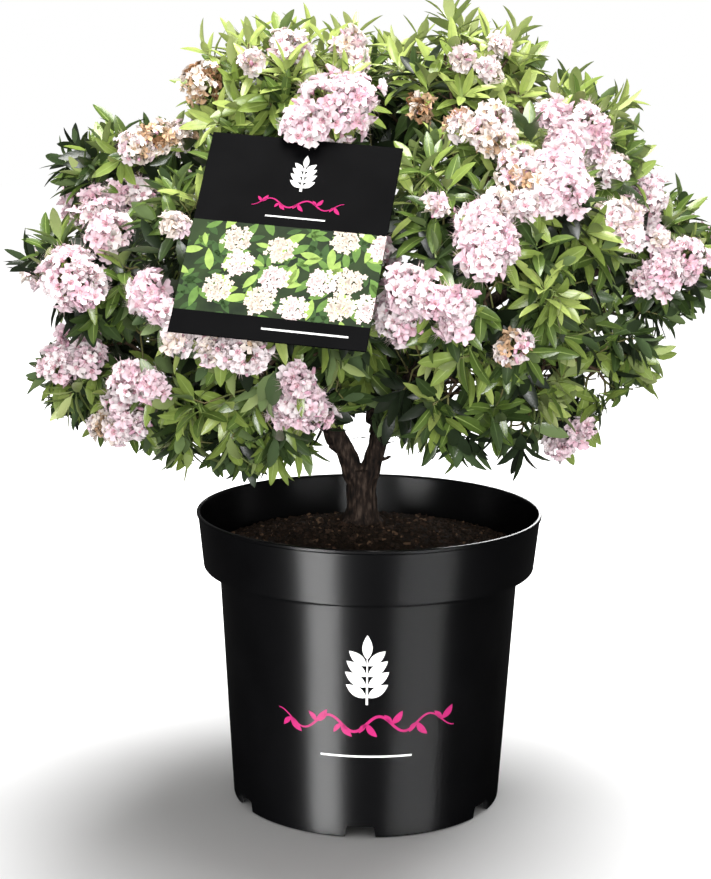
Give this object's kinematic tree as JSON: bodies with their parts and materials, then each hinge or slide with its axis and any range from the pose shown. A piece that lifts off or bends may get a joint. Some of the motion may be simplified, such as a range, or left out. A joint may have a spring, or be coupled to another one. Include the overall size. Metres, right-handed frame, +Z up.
{
  "type": "potted rhododendron shrub",
  "caption": "Dwarf rhododendron in flower: a short trunk, forking boughs and a wide rounded leafy crown in a black nursery pot with a hanging label.",
  "frame": {"origin": "middle of the object's footprint, on the pot's axis, on the plane that the pot's foot stands on", "axes": "+Z up the pot's axis; -Y is the front, where the label hangs; +X is to the right as seen from the front"},
  "size_m": [0.473, 0.468, 0.5267],
  "materials": {
    "pot_plastic": "satin black moulded plastic",
    "pot_print": "white and magenta printed ink",
    "compost": "dark brown granular peat with bark chips",
    "bark": "rough dark brown bark",
    "twigs": "thin brown twigs",
    "leaves_light": "glossy young leaves",
    "leaves_mid": "glossy leathery leaves",
    "leaves_dark": "glossy dark leathery leaves",
    "blossom": "soft pale pink petals",
    "spent_blossom": "dry faded petals",
    "card": "printed card with a semi-gloss coat",
    "hook_plastic": "black plastic strip"
  },
  "bodies": {
    "root": {"pot": "pot_plastic", "compost": "compost", "compost_top": "compost", "trunk": "bark", "bough_left": "bark", "bough_right": "bark", "bough_back": "bark", "bough_side": "bark", "mass_heart": "leaves_dark", "mass_top_left": "leaves_light", "mass_top_right": "leaves_light", "mass_upper_left": "leaves_light", "mass_upper_right": "leaves_light", "mass_left": "leaves_mid", "mass_right": "leaves_mid", "mass_left_low": "leaves_mid", "mass_right_low": "leaves_mid", "mass_low_left": "leaves_mid", "mass_low_right": "leaves_mid", "mass_front_left": "leaves_mid", "mass_front_right": "leaves_mid", "mass_back_top": "leaves_light", "mass_back_left": "leaves_mid", "mass_back_right": "leaves_mid", "mass_back_low": "leaves_mid", "label_card": "card", "label_hook": "hook_plastic"}
  },
  "joints": []
}
